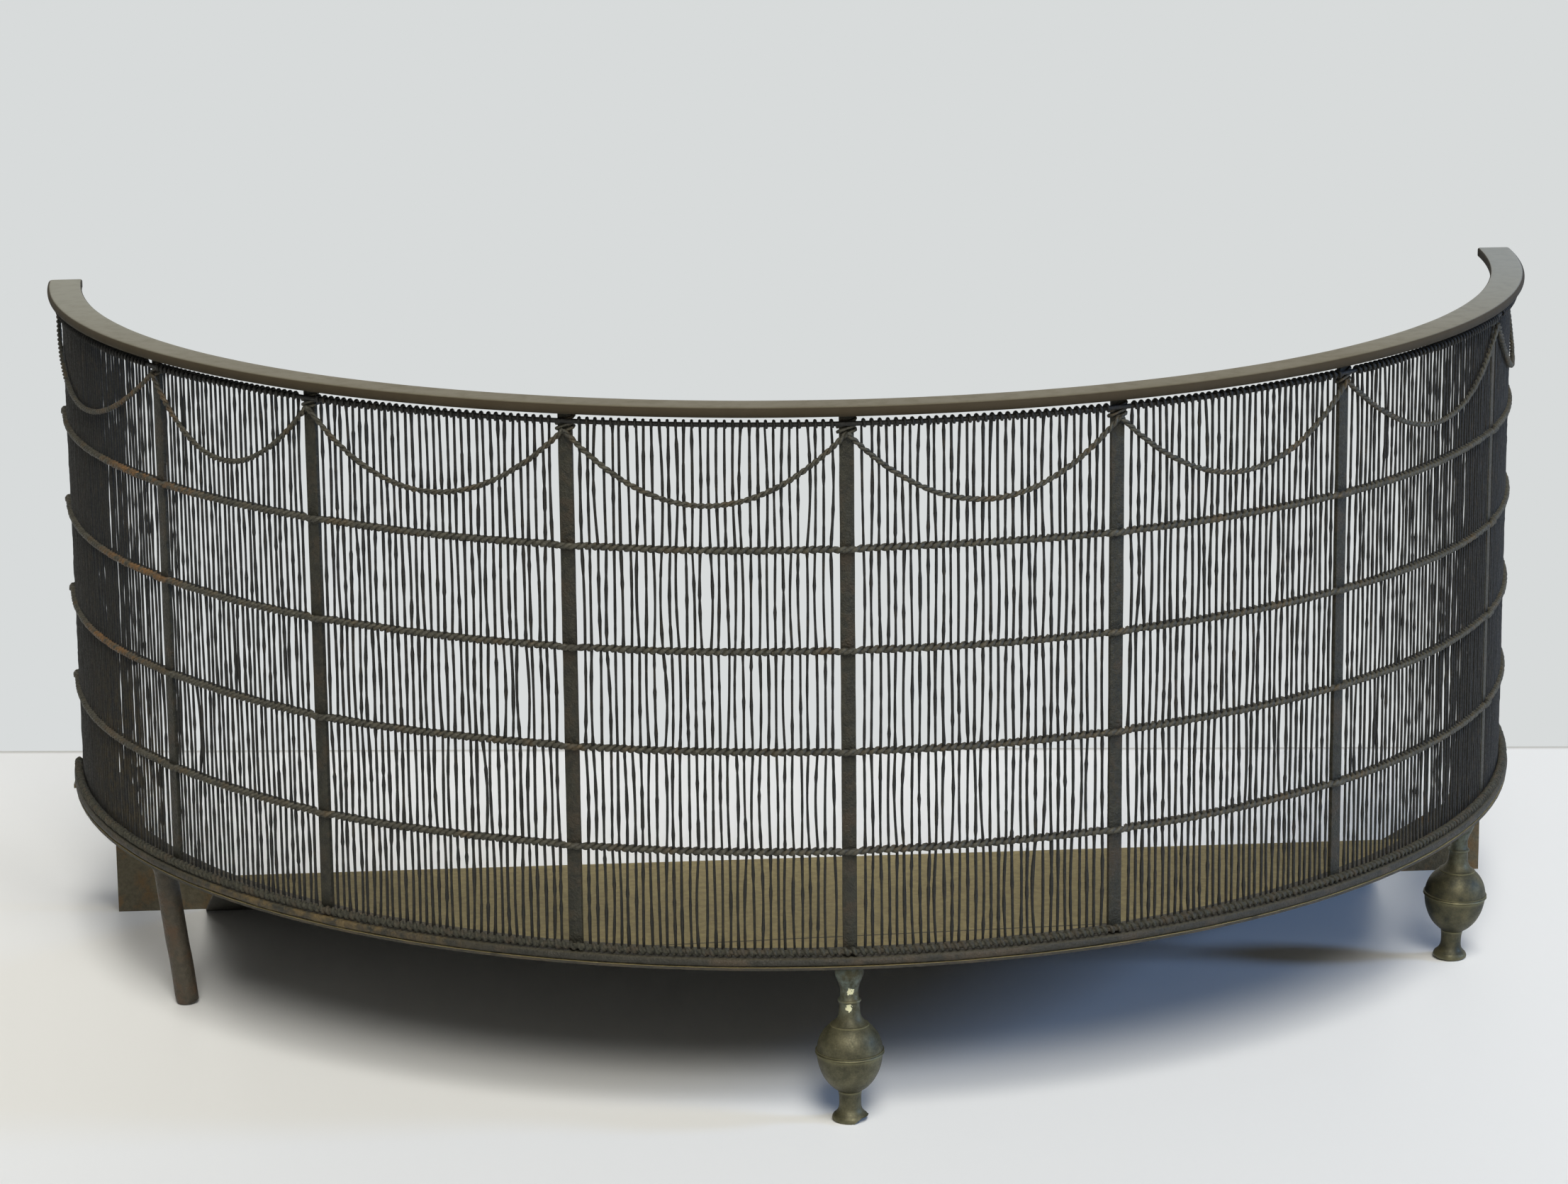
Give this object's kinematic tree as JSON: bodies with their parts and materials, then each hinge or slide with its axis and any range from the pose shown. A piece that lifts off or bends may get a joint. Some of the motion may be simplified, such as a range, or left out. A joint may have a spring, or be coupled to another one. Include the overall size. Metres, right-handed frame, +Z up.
{
  "type": "fire fender",
  "caption": "Bow-fronted fire fender: an upright wire screen with hanging wire swags between an iron curb and base plate on feet and a brass-covered top rail, open at the back.",
  "frame": {"origin": "on the floor, in the middle of the fender's outline", "axes": "+Z up; the bowed front faces -Y and the open back, which goes against the chimney breast, faces +Y; +X is on the right for someone who looks at the front"},
  "size_m": [1.2154, 0.5959, 0.5412],
  "materials": {
    "rail_brass": "dull olive-brown patina, faintly polished on the nose",
    "foot_brass": "dark tarnish with bright worn brass",
    "wire_iron": "oxidised black, satin",
    "rope_iron": "grey-olive oxide, satin",
    "post_iron": "dark brown-black, satin",
    "curb_iron": "brown rust, matt",
    "plate_iron": "mottled rust, matt",
    "leg_iron": "red-brown rust, matt",
    "rear_foot_iron": "grey-brown oxide with rust, matt",
    "hidden_iron": "dark oxide"
  },
  "bodies": {
    "root": {"brass_rail": "rail_brass", "rail_end_caps": "rail_brass", "rail_core": "hidden_iron", "top_wire": "wire_iron", "row_rope_1": "rope_iron", "row_rope_2": "rope_iron", "row_rope_3": "rope_iron", "row_rope_4": "rope_iron", "bottom_rope": "rope_iron", "post_1": "post_iron", "post_2": "post_iron", "post_3": "post_iron", "post_4": "post_iron", "post_5": "post_iron", "post_6": "post_iron", "post_7": "post_iron", "post_8": "post_iron", "post_9": "post_iron", "wire_panel_1": "wire_iron", "wire_panel_2": "wire_iron", "wire_panel_3": "wire_iron", "wire_panel_4": "wire_iron", "wire_panel_5": "wire_iron", "wire_panel_6": "wire_iron", "wire_panel_7": "wire_iron", "wire_panel_8": "wire_iron", "swag_1": "rope_iron", "swag_2": "rope_iron", "swag_3": "rope_iron", "swag_4": "rope_iron", "swag_5": "rope_iron", "swag_6": "rope_iron", "swag_7": "rope_iron", "swag_8": "rope_iron", "curb": "curb_iron", "base_plate": "plate_iron", "front_foot_neck": "foot_brass", "front_foot_ball_top": "foot_brass", "front_foot_ball_bottom": "foot_brass", "front_foot_pad": "foot_brass", "front_foot_rod": "hidden_iron", "right_foot_neck": "foot_brass", "right_foot_ball_top": "foot_brass", "right_foot_ball_bottom": "foot_brass", "right_foot_pad": "foot_brass", "right_foot_rod": "hidden_iron", "left_leg": "leg_iron", "rear_foot_left": "rear_foot_iron", "rear_foot_right": "rear_foot_iron", "rear_foot_rivets": "hidden_iron"}
  },
  "joints": []
}
